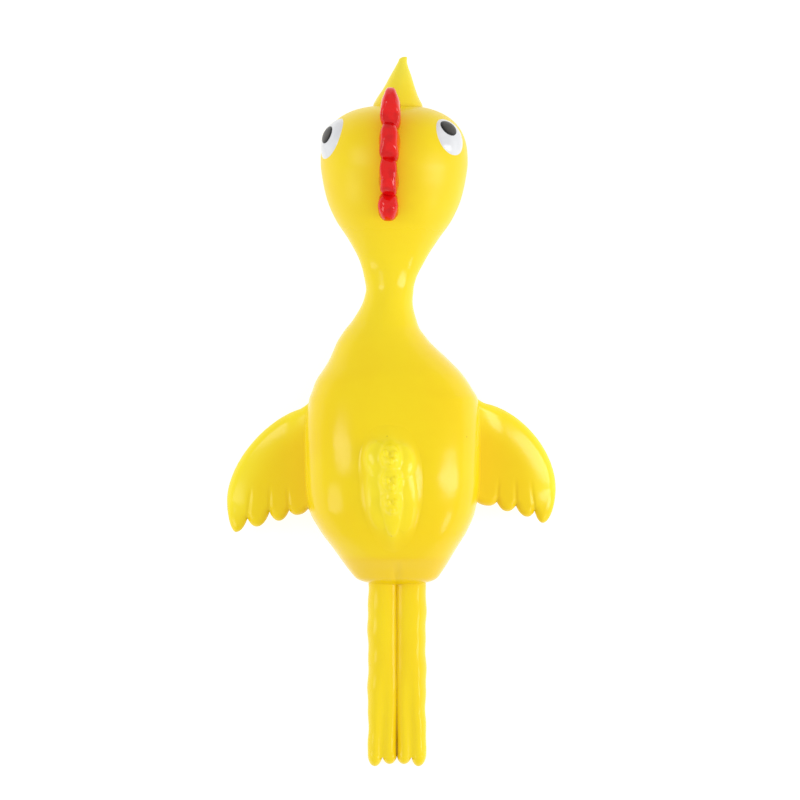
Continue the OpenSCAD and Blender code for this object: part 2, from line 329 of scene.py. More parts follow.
class Bench:
    """The nodes of one material."""

    def __init__(self, name: str) -> None:
        """Starts an empty material of that name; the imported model's own one steps aside."""
        packed = bpy.data.materials.get(name)
        if packed is not None:
            packed.name = f"packed_{name}"
        self.material = bpy.data.materials.new(name)
        self.material.use_nodes = True
        self.tree = self.material.node_tree
        self.tree.nodes.clear()

    def part(
        self, kind: str, settings: dict | None = None, inputs: dict | None = None, output: str | int = 0
    ) -> Wire:
        """Adds a node, sets its settings first, and then its sockets.

        Args:
            kind: the node's type.
            settings: its own settings, such as a Math node's operation.
            inputs: a number, colour or Wire for each socket, by name or by place.
            output: the output to hand back.

        Returns:
            The chosen output.
        """
        node = self.tree.nodes.new(kind)
        for key, value in (settings or {}).items():
            setattr(node, key, value)
        for key, value in (inputs or {}).items():
            if isinstance(value, Wire):
                self.tree.links.new(value.socket, node.inputs[key])
            else:
                node.inputs[key].default_value = value
        sockets = node.outputs or node.inputs
        return Wire(self, sockets[output])

    def places(self) -> Wire:
        """The place on the object, in metres."""
        return self.part("ShaderNodeTexCoord", output="Object")

    def noise(self, size: float, detail: float = 2.0, shift: Point = (0, 0, 0)) -> Wire:
        """Cloudy noise from 0 to 1, whose patches are about that size in mm."""
        moved = self.part("ShaderNodeMapping", {}, {"Vector": self.places(), "Location": shift})
        inputs = {"Vector": moved, "Scale": 1 / (size * MM), "Detail": detail}
        return self.part("ShaderNodeTexNoise", {}, inputs)

    def bump(self, strength: float, depth: float, height: Wire) -> Wire:
        """The shading normal of a relief of that depth in mm."""
        inputs = {"Strength": strength, "Distance": depth * MM, "Height": height}
        return self.part("ShaderNodeBump", {}, inputs)

    def stored(self, label: str) -> Wire:
        """A number that the mesh holds at every vertex."""
        return self.part("ShaderNodeAttribute", {"attribute_name": label}, output="Fac")

    def mixed(self, share: "Wire | float", first: "Wire | Colour", second: "Wire | Colour") -> Wire:
        """The first colour, going over to the second as share goes from 0 to 1."""
        a, b = ((*c, 1.0) if isinstance(c, tuple) else c for c in (first, second))
        return self.part("ShaderNodeMix", {"data_type": "RGBA"}, {0: share, 6: a, 7: b}, 2)

    def finish(self, sockets: dict) -> Material:
        """Ends in a Principled surface with those sockets.

        Args:
            sockets: values or Wires by socket name.

        Returns:
            The material.
        """
        surface = self.part("ShaderNodeBsdfPrincipled", {}, sockets)
        self.part("ShaderNodeOutputMaterial", {}, {"Surface": surface})
        return self.material


@dataclass(frozen=True)
class Rubber:
    """Glossy, slightly translucent rubber; its colour carries painted shade, a deeper orange, and painted
    light, a paler yellow, from two stored marks.
    """

    name: str = "yellow_rubber"
    # Deeper tone of the random clouding, and also the colour of the painted shade.
    deep_and_shaded: Colour = (0.85, 0.575, 0.003)
    body: Colour = (0.885, 0.665, 0.005)
    # Paler colour of the painted light.
    painted_light: Colour = (0.92, 0.76, 0.02)
    roughness: float = 0.15
    ior: float = 1.36
    speck: float = 0.55
    speck_gap: float = 6.5
    dust: Colour = (0.42, 0.26, 0.01)

    def material(self) -> Material:
        """The finish as nodes: clouded tone, painted light and painted shade from the stored marks, sparse
        dust specks, and a faint ripple in the gloss.
        """
        bench = Bench(self.name)
        cloud = bench.noise(17, 3)
        fine = bench.noise(2.2, 3, (0.3, 0.1, 0.7))
        tone = cloud.rise(0.3, 0.7) * 0.5 + fine.rise(0.3, 0.75) * 0.14
        yellow = bench.mixed(tone, self.body, self.deep_and_shaded)
        # Painted light: paler yellow where the piece's mark on this line is high.
        yellow = bench.mixed(bench.stored("painted_light"), yellow, self.painted_light)
        # Painted shade: deeper orange where the piece's mark on this line is high.
        yellow = bench.mixed(bench.stored("painted_shade"), yellow, self.deep_and_shaded)
        cells = {"Vector": bench.places(), "Scale": 1 / (self.speck_gap * MM)}
        near, pick = (
            bench.part("ShaderNodeTexVoronoi", {"feature": "F1"}, cells, output)
            for output in ("Distance", "Color")
        )
        chance = bench.part("ShaderNodeSeparateColor", {}, {0: pick}, 0)
        dust = (1 - near.rise(0.018, 0.035)) * chance.rise(0.8, 0.84) * self.speck
        return bench.finish(
            {
                "Base Color": bench.mixed(dust, yellow, self.dust),
                "Roughness": self.roughness + fine * 0.06 + bench.stored("dull") * 0.17,
                "IOR": self.ior,
                "Normal": bench.bump(0.06, 0.25, bench.noise(1.6, 2, (0.2, 0.5, 0.1))),
            }
        )


@dataclass(frozen=True)
class Paint:
    """Enamel brushed on the rubber: mottled where it lies thinly, glossy, and with a tone of its own along a
    rim, darker on the pupil and oranger on the comb's right flank.
    """

    name: str
    coat: Colour
    mottle: Colour
    rim: Colour
    roughness: float = 0.14
    patch: float = 1.6
    ripple: float = 0.2
    ior: float = 1.42

    def material(self) -> Material:
        """The finish as nodes: two clouded tones, a rim tone by the stored rim value, and brush ripple."""
        bench = Bench(self.name)
        cloud = bench.noise(self.patch, 3)
        tone = bench.mixed(cloud.rise(0.42, 0.68), self.coat, self.mottle)
        tone = bench.mixed(bench.stored("rim"), tone, self.rim)
        brushed = bench.noise(self.patch * 0.55, 2, (0.4, 0.2, 0.6))
        return bench.finish(
            {
                "Base Color": tone,
                "Roughness": self.roughness + cloud * 0.06,
                "IOR": self.ior,
                "Normal": bench.bump(self.ripple, 0.2, brushed),
            }
        )


class Palette:
    """The finishes, made once and shared by the pieces."""

    def __init__(self) -> None:
        """Makes the five materials."""
        self.rubber = Rubber().material()
        self.beak = Rubber(
            "pale_yellow_rubber",
            # The beak's deeper tone, also its painted shade; then its body colour; then the paler colour of
            # its painted light.
            deep_and_shaded=(0.87, 0.62, 0.008),
            body=(0.89, 0.69, 0.012),
            painted_light=(0.88, 0.77, 0.06),
            speck=0.0,
        ).material()
        self.comb = Paint(
            "red_paint",
            coat=(0.76, 0.004, 0.003),
            mottle=(0.62, 0.002, 0.002),
            rim=(0.78, 0.13, 0.004),
            roughness=0.08,
            patch=1.9,
            ripple=0.22,
        ).material()
        self.white = Paint(
            "white_paint",
            coat=(0.74, 0.75, 0.765),
            mottle=(0.69, 0.70, 0.72),
            rim=(0.62, 0.60, 0.50),
            roughness=0.14,
            patch=2.4,
            ripple=0.10,
        ).material()
        self.black = Paint(
            "black_paint",
            coat=(0.035, 0.032, 0.028),
            mottle=(0.05, 0.045, 0.038),
            rim=(0.006, 0.006, 0.006),
            roughness=0.2,
            patch=0.9,
            ripple=0.15,
        ).material()


def dress(
    piece: Object, material: Material, stands_for: Sequence[str]
) -> Object:
    """Puts a finish on a piece, hides the CAD nodes that it stands for, and logs its vertex count.

    Args:
        piece: the finished piece.
        material: its finish.
        stands_for: the CAD nodes that it replaces.

    Returns:
        The piece.
    """
    piece.data.materials.clear()
    piece.data.materials.append(material)
    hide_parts(*stands_for)
    LOG.info("%s: %d vertices", piece.name, len(piece.data.vertices))
    return piece


# ---- torso, neck and head


@dataclass
class Trunk:
    """The moulding from the rear of the torso over the neck to the face, as one endless skin.

    The section at a place along Y is a superellipse: |(x - middle) / width|^n + |(z - axis) / height|^n = 1.
    """

    palette: Palette
    around: int = 192
    rear: float = -28.4
    rear_turn: float = -27.0
    crown: float = 40.1
    face: float = 49.5
    face_power: float = 2.6
    axis_z: float = 11.6
    inset: float = 0.1
    pocket_r: float = 6.8
    pocket_y: float = 39.055
    pocket_top: float = 16.5
    pocket_round: float = 1.6
    # Share of painted light, painted shade and dullness on the finger pocket's walls.
    pocket_tone: float = 0.5
    belly_soft: float = 0.5
    crease_depth: float = 0.55
    crease_half: float = 0.55
    crease_x: float = 0.6
    crease_y: float = -24.0
    rims: tuple[float, ...] = (8.5, 17.4, 19.9, 21.6, 30.0)
    widths: Pairs = (
        (-28.4, 5.3), (-27.6, 6.35), (-26.0, 7.65), (-22.7, 9.85), (-19.5, 12.0), (-16.2, 13.5),
        (-11.4, 14.15), (-4.9, 14.25), (1.6, 13.75), (3.2, 13.05), (4.9, 12.2), (8.1, 9.75), (11.4, 7.3),
        (14.6, 5.2), (17.9, 4.0), (19.5, 3.88), (21.1, 4.15), (24.4, 5.4), (27.6, 7.25), (30.9, 9.45),
        (34.1, 10.85), (37.3, 11.6), (40.1, 11.95), (42.0, 11.95),
    )
    heights: Pairs = (
        (-28.4, 4.2), (-26.0, 6.5), (-24.0, 8.5), (-20.0, 10.4), (-14.0, 11.85), (-10.5, 12.15),
        (-6.5, 11.95), (-2.5, 11.45), (1.6, 10.75), (4.9, 9.9), (8.1, 8.55), (11.4, 7.0), (14.6, 5.4),
        (17.9, 4.3), (20.3, 3.95), (22.7, 4.0), (24.9, 4.6), (27.6, 6.1), (30.9, 8.1), (34.1, 9.6),
        (37.3, 10.5), (40.1, 10.9), (42.0, 10.9),
    )
    axes: Pairs = ((-28.4, 10.2), (-25.0, 10.6), (-20.0, 11.6), (49.5, 11.6))
    middles: Pairs = (
        (-28.4, 0.65), (-26.0, 0.5), (-22.7, 0.3), (-19.5, 0.1), (-16.2, -0.1), (-4.9, -0.1), (1.6, 0.08),
        (4.9, -0.25), (6.5, -0.35), (8.1, -0.65), (9.7, -1.15), (11.4, -1.6), (13.0, -1.68), (14.6, -1.36),
        (16.2, -1.08), (17.9, -0.78), (19.5, -0.53), (21.1, -0.46), (24.4, -0.1), (30.0, 0.13), (49.5, 0.24),
    )
    powers: Pairs = (
        (-28.4, 2.5), (-8.0, 2.5), (2.0, 2.4), (14.0, 1.95), (20.0, 1.85), (26.0, 2.0), (34.0, 2.1),
        (49.5, 2.15),
    )

    def section(self, y: Array) -> tuple[Array, ...]:
        """Middle, axis height, half width, half height and power of the section at places along Y.

        The ends close as superellipses: the rear over its last 1.4 mm and the face from the crown on.
        """
        back = np.clip((self.rear_turn - y) / (self.rear_turn - self.rear), 0, 1)
        front = np.clip((y - self.crown) / (self.face - self.crown), 0, 1)
        close = (1 - back**3) ** (1 / 3) * (1 - front**self.face_power) ** (1 / self.face_power)
        close = np.maximum(close, 1e-4)
        return (
            flow(self.middles, y),
            flow(self.axes, y),
            flow(self.widths, y) * close,
            flow(self.heights, y) * close,
            flow(self.powers, y),
        )

    def skin(self, y: Array, turn: Array) -> Array:
        """Points of the skin at places along Y and turns around the section, in radians from +X.

        The belly is pressed flat: z becomes (z + sqrt(z^2 + soft^2)) / 2. Between the legs the rear has a
        shallow crease, a bell across X that starts 4 mm before the end.
        """
        middle, axis, wide, high, n = self.section(y)
        x = middle + wide * power(np.cos(turn), 2 / n)
        z = axis + high * power(np.sin(turn), 2 / n)
        crease = bell((x - self.crease_x) / self.crease_half) * ease((self.crease_y - y) / 2.5)
        z = z - self.crease_depth * crease * (np.sin(turn) > 0) * np.minimum(1, high / 4)
        return xyz(x, y, (z + np.sqrt(z * z + self.belly_soft**2)) / 2)

    def level(self, places: Array) -> Array:
        """The section's formula less 1 at places: below 0 inside the skin and above 0 outside."""
        x, y, z = np.moveaxis(places, -1, 0)
        middle, axis, wide, high, n = self.section(y)
        return np.abs((x - middle) / wide) ** n + np.abs((z - axis) / high) ** n - 1

    def normals(self, places: Array) -> Array:
        """Unit normals of the endless skin: the slope of level() along X, Y and Z."""
        ways = 0.01 * np.eye(3)
        slope = np.stack([self.level(places + way) - self.level(places - way) for way in ways], -1)
        return slope / np.linalg.norm(slope, axis=-1, keepdims=True)

    def back_height(self, x: Array, y: Array) -> Array:
        """Height of the back above X and Y."""
        middle, axis, wide, high, n = self.section(y)
        across = np.clip(np.abs((x - middle) / wide), 0, 1)
        return axis + high * (1 - across**n) ** (1 / n)

    def settle(self, places: Array, way: Array, reach: float = 7.0) -> Array:
        """How far along a direction the skin lies from each place, found by halving 40 times.

        Args:
            places: starting places near the skin.
            way: the outward direction.
            reach: the furthest that the skin may be from a place, to either side.

        Returns:
            The distances.
        """
        low = np.full(places.shape[:-1], -reach)
        high = np.full(places.shape[:-1], reach)
        for _ in range(40):
            middle = (low + high) / 2
            outside = self.level(places + middle[..., None] * way) > 0
            low, high = np.where(outside, low, middle), np.where(outside, middle, high)
        return (low + high) / 2

    def stretch(self, name: str, y: Array, ends: tuple[End, End]) -> Object:
        """The skin over rising places along Y, closed at both ends."""
        rings = self.skin(y[:, None], turns(self.around))
        tips = (rings[0].mean(0), rings[-1].mean(0))
        for tip, end, place in zip(tips, ends, (self.rear, self.face)):
            if end is End.POLE:
                tip[1] = place
        piece = tube(name, rings, ends, tips)
        mark(piece, "dull", lambda p: ease((p[:, 1] - 25) / 8))
        # Painted light: paler over the neck, and a little over the head.
        mark(piece, "painted_light", lambda p: 0.55 * bell((p[:, 1] - 20) / 9) + 0.15 * ease((p[:, 1] - 20) / 10))
        # Painted shade towards the rear and the belly.
        mark(piece, "painted_shade", self.painted_shade)
        return piece

    def painted_shade(self, p: Array) -> Array:
        """Painted shade on the trunk: deeper orange towards the rear, most of all at its end, and towards the
        belly.
        """
        rear = 0.25 * ease((-10 - p[:, 1]) / 10) + 0.9 * ease((-23.2 - p[:, 1]) / 1.6)
        return rear + 0.2 * ease((9 - p[:, 2]) / 8)

    def build(self) -> None:
        """Makes the torso, the neck's four flexing skins and the head."""
        turned = np.linspace(np.pi / 2, 0, 26)[1:-1]
        rear = self.rear_turn - (self.rear_turn - self.rear) * np.sin(turned)
        y = np.append(rear, np.linspace(self.rear_turn, self.rims[0], 112))
        torso = self.stretch("torso_skin", y, (End.POLE, End.FLAT))
        pin_rims(torso, self.rims[:1], self.normals)
        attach(dress(torso, self.palette.rubber, ["torso"]), "torso")
        bodies = ("torso", "neck_lower", "neck_middle", "neck_upper", "head")
        kinds = (("shoulder", 40), ("stretch", 24), ("twist", 20), ("nod", 40))
        nodes = (*bodies[1:4], "nape")
        for number, (kind, count) in enumerate(kinds):
            start, end = self.rims[number : number + 2]
            piece = self.stretch(f"{kind}_skin", np.linspace(start, end, count), FLAT_ENDS)
            pin_rims(piece, [start, end], self.normals)
            dress(piece, self.palette.rubber, [nodes[number]])
            bend = (metres((0, y, self.axis_z)) for y in (start + self.inset, end - self.inset))
            bodies[number]
            bodies[number + 1]
            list(bend)
            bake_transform(piece)
        self.build_head(self.rims[-1])

    def build_head(self, start: float) -> None:
        """The head from a place along Y to the face, with the finger pocket cut into its underside."""
        brow = self.crown + (self.face - self.crown) * np.sin(np.linspace(0, np.pi / 2, 56)[1:-1])
        y = np.concatenate([np.linspace(start, self.crown, 34), brow])
        head = self.stretch("head_plain", y, (End.FLAT, End.POLE))
        curve = np.linspace(0, 1.5, 9)
        depth = np.append(-2.0, self.pocket_top - self.pocket_round * (1 - np.sin(curve)))[:, None]
        radius = np.append(self.pocket_r, self.pocket_r - self.pocket_round * (1 - np.cos(curve)))[:, None]
        turn = turns(96)
        x = flow(self.middles, np.array(self.pocket_y))
        rings = xyz(x + radius * np.cos(turn), self.pocket_y + radius * np.sin(turn), depth)
        pocket = tube("pocket", rings, (End.FLAT, End.POLE))
        # The finger pocket's walls take half of the painted light, of the painted shade and of the dullness.
        for label in ("painted_light", "painted_shade", "dull"):
            mark(pocket, label, lambda p: np.full(len(p), self.pocket_tone))
        head = sharpen(join_skins("head_skin", [head, pocket], "DIFFERENCE"), 40)
        pin_rims(head, [start], self.normals)
        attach(dress(head, self.palette.rubber, ["head"]), "head")


# ---- comb, eyes and beak


@dataclass
class Comb:
    """Four painted lobes on edge along the crown; the first overhangs the beak."""

    palette: Palette
    lean: float = -0.035
    outline: float = 2.3
    lobes: tuple[tuple[float, ...], ...] = (
        # x, y, z of the middle, then half thickness, half length, half height, taper to the front, squareness
        (-0.36, 48.75, 22.10, 1.72, 3.45, 3.10, 0.42, 4.0),
        (-0.57, 43.45, 23.05, 1.62, 3.40, 3.00, 0.14, 4.0),
        (-0.70, 38.00, 23.15, 1.48, 3.30, 2.75, 0.00, 4.5),
        (-0.76, 32.90, 22.20, 1.68, 2.35, 2.35, 0.00, 2.6),
    )

    def lobe(self, number: int) -> Object:
        """One lobe: |x / a|^n + (|y / b|^2.3 + |z / c|^2.3)^(n / 2.3) = 1, with a tapering to the front.

        Slow ripples over its sides make it look poured, and all but the last lean over at the back.
        """
        x, y, z, painted_shade, long, high, taper, square = self.lobes[number]
        side = np.linspace(-np.pi / 2, np.pi / 2, 46)[1:-1, None]
        turn = turns(96)
        out = power(np.cos(side), 2 / square)
        across = power(np.sin(side), 2 / square) * np.ones_like(turn)
        along = out * power(np.cos(turn), 2 / self.outline)
        up = out * power(np.sin(turn), 2 / self.outline)
        wave = 1 + 0.06 * np.sin(2.3 * along + 1.7 * number + 2 * up)
        wave = wave + 0.05 * np.sin(5 * along - 3 * up + number)
        facet = 1 + 0.05 * np.sin(4 * along + number)
        facet = facet + 0.05 * np.sin(6.1 * along + 2.6 * across + 2.2 * number)
        is_last = number == len(self.lobes) - 1
        slant = 0.0 if is_last else 0.10 * across * np.maximum(-along, 0)
        narrow = 1 - taper * ease(0.5 + 0.5 * along) * np.clip(0.3 + along, 0, 1)
        px = x + painted_shade * across * narrow * wave + self.lean * high * up
        rings = xyz(px, y + long * (along - slant), z + high * up * facet)
        return tube(f"lobe_{number}", rings, (End.POLE, End.POLE))

    def build(self) -> None:
        """Joins the lobes into one comb, whose creases are where they meet."""
        lobes = [self.lobe(number) for number in range(len(self.lobes))]
        for lobe in lobes:
            # The right flank of the front lobes turns oranger.
            mark(lobe, "rim", lambda p: 0.35 * bell((p[:, 0] - 1.25) / 0.4) * ease((p[:, 1] - 39) / 4))
        comb = sharpen(join_skins("comb_paint", lobes), 38)
        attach(dress(comb, self.palette.comb, ["comb"]), "head")


@dataclass
class Eye:
    """A white dome on the side of the head with a black pupil off its centre."""

    palette: Palette
    trunk: Trunk
    name: str
    side: int
    y: float
    up: float
    look_up: float
    look_fore: float
    pupil: tuple[float, float]
    radius: float = 3.25
    rise: float = 0.7
    pupil_r: float = 1.5
    sunk: float = 0.05
    pupil_rise: float = 0.16

    def __post_init__(self) -> None:
        """Works out the eye's middle on the head, its outward direction, and its forward and upward ones."""
        up, fore = math.radians(self.look_up), math.radians(self.look_fore)
        turn = math.radians(self.up) if self.side > 0 else math.pi - math.radians(self.up)
        self.middle = self.trunk.skin(np.array(self.y), np.array(turn))
        flat = np.array([self.side * math.cos(fore), math.sin(fore), 0.0])
        self.out = flat * math.cos(up) + np.array([0, 0, math.sin(up)])
        self.fore = np.array([-self.side * math.sin(fore), math.cos(fore), 0.0])
        self.top = np.array([0, 0, math.cos(up)]) - flat * math.sin(up)

    def raised(self, fore: Array, top: Array, lift: Array) -> Array:
        """Points at offsets forward and up from the eye's middle, on the head's skin and lifted off it."""
        flat = self.middle + fore[..., None] * self.fore + top[..., None] * self.top
        away = self.trunk.settle(flat, self.out)
        return flat + (away + lift)[..., None] * self.out

    def dome(self, fore: Array, top: Array) -> Array:
        """Height of the white dome: rise * (1 - share of the radius^2.4)^0.8."""
        share = np.clip(np.hypot(fore, top) / self.radius, 0, 1)
        return self.rise * (1 - share**2.4) ** 0.8

    def disc(
        self, name: str, at: tuple[float, float], radius: float, over: Callable, under: Callable
    ) -> Object:
        """A closed round pad: rings from its middle to its rim on top, and back to its middle below.

        Args:
            name: name of the piece.
            at: its middle, as offsets forward and up.
            radius: its radius.
            over: height of its top over the head, from offsets and the share of the radius.
            under: height of its underside, from the same.

        Returns:
            The piece.
        """
        share = np.append(np.sin(np.linspace(0.03, np.pi / 2, 26)), np.linspace(0.97, 0.05, 10))[:, None]
        turn = turns(80)
        fore = at[0] + radius * share * np.cos(turn)
        top = at[1] + radius * share * np.sin(turn)
        above = np.arange(len(share))[:, None] < 26
        lift = np.where(above, over(fore, top, share), under(fore, top, share))
        return tube(name, self.raised(fore, top, lift), (End.POLE, End.POLE))

    def build(self) -> None:
        """Makes the white and the pupil."""
        white = self.disc(
            f"{self.name}_eye_paint",
            (0, 0),
            self.radius,
            lambda f, t, s: self.dome(f, t) - self.sunk,
            lambda f, t, s: -self.sunk - 0.35 * (1 - s),
        )
        mark(white, "rim", lambda p: np.zeros(len(p)))
        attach(dress(white, self.palette.white, [f"{self.name}_eye"]), "head")
        pupil = self.disc(
            f"{self.name}_pupil_paint",
            self.pupil,
            self.pupil_r,
            lambda f, t, s: self.dome(f, t) - 0.04 + self.pupil_rise * np.sqrt(np.clip(1 - s**4, 0, 1)),
            lambda f, t, s: self.dome(f, t) - self.sunk - 0.15 * (1 - s),
        )
        fore, top = (np.array(offset) for offset in self.pupil)
        core = self.raised(fore, top, self.dome(fore, top))
        mark(pupil, "rim", lambda p: ease((np.linalg.norm(p - core, axis=1) / self.pupil_r - 0.72) / 0.2))
        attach(dress(pupil, self.palette.black, [f"{self.name}_pupil"]), "head")


@dataclass
class Beak:
    """A pointed beak in two halves, closed on its mouth line, with a slightly hooked tip."""

    palette: Palette
    root: float = 46.5
    tip: float = 57.4
    mouth: float = 11.0
    overbite: float = 1.2
    arch: float = 1.9
    seam: float = 0.03
    hook: float = 0.35
    hook_y: float = 53.0
    halves: Pairs = (
        (46.5, 4.3), (49.5, 4.02), (50.4, 3.57), (52.4, 2.54), (54.4, 1.69), (56.0, 0.95), (56.6, 0.73),
        (57.06, 0.64), (57.34, 0.42), (57.42, 0.2),
    )
    middles: Pairs = (
        (46.5, 0.78), (50.4, 0.78), (52.4, 1.04), (54.4, 1.28), (56.0, 1.46), (56.6, 1.56), (57.06, 1.66),
        (57.34, 1.86), (57.42, 2.0),
    )

    def half(self, name: str, upper: bool) -> Object:
        """One half: flat on the mouth line, and an arch |x / w|^1.9 + |z / h|^1.9 = 1 above or below it."""
        share = np.sin(np.linspace(0, np.pi / 2, 60))[:, None]
        length = self.tip - self.root
        y = self.root + (length - (0 if upper else self.overbite)) * share
        at = self.root + length * share
        wide = flow(self.halves, at) * (1 if upper else 0.94)
        high = wide * (0.95 if upper else 0.88)
        turn = np.concatenate([np.linspace(0, np.pi, 57), np.pi + np.linspace(0, np.pi, 25)[1:-1]])
        arched = np.sin(turn) >= -1e-9
        x = wide * np.where(arched, power(np.cos(turn), 2 / self.arch), np.cos(turn))
        z = high * np.where(arched, np.abs(np.sin(turn)) ** (2 / self.arch), 0) + self.seam
        hook = self.hook * ease((at - self.hook_y) / (self.tip - self.hook_y))
        rings = xyz(x + flow(self.middles, y), y, z * (1 if upper else -1) + self.mouth - hook)
        return tube(name, rings, (End.FLAT, End.POLE))

    def build(self) -> None:
        """Makes both halves."""
        for name, upper in (("upper_beak", True), ("lower_beak", False)):
            piece = sharpen(self.half(f"{name}_skin", upper), 50)
            # Painted light: paler towards the tip.
            mark(piece, "painted_light", lambda p: 0.15 + 0.75 * ease((p[:, 1] - 50) / 7))
            # Painted shade: deeper at the root, where the beak meets the head.
            mark(piece, "painted_shade", lambda p: 0.2 * ease((50.2 - p[:, 1]) / 1.0))
            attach(dress(piece, self.palette.beak, [name]), "head")


# ---- wings


@dataclass
class Wing:
    """A short spread wing with four feather tips; x counts outwards from the bird's middle."""

    palette: Palette
    name: str
    side: int
    root: tuple[float, float]
    outer: tuple[float, float]
    lead: tuple[float, float]
    tips: Pairs
    notches: Pairs
    hinge_x: float = 13.807
    hinge_y: float = -7.56
    hinge_z: float = 8.6
    bend: tuple[float, float] = (13.3, 17.0)
    bend_drop: float = 0.7
    droop: float = 12.0
    inner: float = 12.2
    thickness: float = 2.1
    edge: float = 1.2
    pitch: float = 0.2
    groove: float = 0.17
    groove_half: float = 0.3
    roll: float = 1.25
    roll_reach: float = 6.0
    # How far in from the leading edge the painted light reaches, in mm.
    painted_light_reach: float = 5.5

    def lead_y(self, x: Array) -> Array:
        """Leading edge: y falls from the root to the outermost place as (1 - u^p)^q, with a small fillet."""
        u = np.clip((x - self.root[0]) / (self.outer[0] - self.root[0]), 0, 1)
        fall = (1 - u ** self.lead[0]) ** self.lead[1]
        fillet = 0.45 * np.clip((self.root[0] + 1.2 - x) / 1.2, 0, 3) ** 2
        fuller = 0.3 * np.sin(np.pi * u) ** 0.7
        return self.outer[1] + (self.root[1] - self.outer[1]) * fall + np.minimum(fillet, 2.0) + fuller

    def trail_y(self, x: Array) -> Array:
        """Trailing edge: rounded tips that drop from cusped notches, and an ellipse from the last tip on."""

        def share(start: Sequence[float], end: Sequence[float]) -> Array:
            """Share of the way across from one point to another."""
            return np.clip((x - start[0]) / (end[0] - start[0]), 0, 1)

        def drop(notch: Sequence[float], tip: Sequence[float]) -> Array:
            """Rounded fall from a notch to a tip."""
            return notch[1] + (tip[1] - notch[1]) * (1 - (1 - share(notch, tip)) ** 2.1) ** 0.85

        notches, tips = self.notches[::-1], self.tips[::-1]
        y = np.full_like(x, notches[0][1])
        for notch, tip in zip(notches, tips):
            y = np.where((x >= notch[0]) & (x <= tip[0]), drop(notch, tip), y)
        for notch, tip in zip(notches[1:], tips):
            y = np.where((x > tip[0]) & (x < notch[0]), drop(notch, tip), y)
        last, end = tips[-1], self.outer
        ellipse = end[1] + (last[1] - end[1]) * (1 - share(last, end) ** 1.9) ** (1 / 1.9)
        return np.where(x > last[0], ellipse, y)

    def outline_gap(self, x: Array, y: Array, edge: Measure) -> Array:
        """Distance of each place from an edge, as the nearest of many points along it."""
        turn = np.sin(np.linspace(0, np.pi / 2, 700))
        along = self.inner - 4 + (self.outer[0] - self.inner + 4) * turn
        line = np.stack([along, edge(along)], 1)
        spots = np.stack([x.ravel(), y.ravel()], 1)
        gap = np.concatenate(
            [np.sqrt(((part[:, None, :] - line) ** 2).sum(-1)).min(1) for part in np.array_split(spots, 24)]
        )
        return gap.reshape(x.shape)

    def build(self) -> None:
        """Makes the wing: columns from root to tip, each a slim loop over the top and back underneath.

        Half the thickness at a distance d from the outline is t * sqrt(1 - (1 - d / edge)^2). The root
        thickens a little, the leading side rolls down, and grooves run in from the notches.
        """
        column = np.concatenate([np.linspace(0, 0.72, 110)[:-1], np.linspace(0.72, 0.9995, 60)])
        x = self.inner + (self.outer[0] - self.inner) * np.sin(column * np.pi / 2)
        row = (1 - np.cos(np.linspace(0, np.pi, 84))) / 2
        low, high = self.trail_y(x)[:, None], self.lead_y(x)[:, None]
        y = low + (high - low) * row
        x = np.broadcast_to(x[:, None], y.shape)
        from_lead = self.outline_gap(x, y, self.lead_y)
        from_edge = np.minimum(from_lead, self.outline_gap(x, y, self.trail_y))
        from_edge[:, [0, -1]] = 0
        round_off = np.sqrt(1 - (1 - np.clip(from_edge / self.edge, 0, 1)) ** 2)
        half = self.thickness / 2 * (1 + 0.2 * ease((17.5 - x) / 4.5)) * round_off
        groove = np.zeros_like(x)
        for number, (notch_x, notch_y) in enumerate(self.notches[:3]):
            line = notch_x - (0.12 - 0.10 * number) * (y - notch_y)
            length = 5.6 - 0.5 * number
            fade = ease((notch_y + length - y) / 3.5) * ease((y - notch_y + 1.5) / 1.5)
            groove = groove + self.groove * bell((x - line) / self.groove_half) * fade
        roll = self.roll * (1 - np.clip(from_lead / self.roll_reach, 0, 1)) ** 2.2 * ease((x - 14) / 4)
        middle = self.hinge_z - np.tan(math.radians(self.droop)) * (x - self.hinge_x) - roll
        middle = middle + self.pitch * (y + 8)
        swell = 0.5 * np.clip((15.2 - x) / 3, 0, 1) ** 2 * round_off
        over = xyz(x * self.side, y, middle + half + swell - groove * round_off)
        under = xyz(x * self.side, y, middle - half - 0.6 * swell)
        rings = np.concatenate([over, under[:, -2:0:-1]], 1)
        wing = tube(f"{self.name}_wing_skin", rings, (End.FLAT, End.POLE))
        # Painted light along the leading edge and painted shade by the torso.
        mark(wing, "painted_light", self.painted_light)
        mark(wing, "painted_shade", self.painted_shade)
        dress(wing, self.palette.rubber, [f"{self.name}_wing"])
        start = metres((self.side * self.bend[0], self.hinge_y, self.hinge_z))
        end = metres((self.side * self.bend[1], self.hinge_y, self.hinge_z - self.bend_drop))
        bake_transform(wing)

    def painted_light(self, p: Array) -> Array:
        """Painted light: paler along the leading edge, and a little towards the tip."""
        x = np.abs(p[:, 0])
        edge = 1 - ease(self.outline_gap(x, p[:, 1], self.lead_y) / self.painted_light_reach)
        return 0.85 * edge + 0.15 * ease((x - 21) / 5)

    def painted_shade(self, p: Array) -> Array:
        """Painted shade: deeper orange in the middle of the inner half, by the torso."""
        return 0.62 * bell((np.abs(p[:, 0]) - 14.5) / 5.5) * ease((-0.5 - p[:, 1]) / 8)


# ---- tail


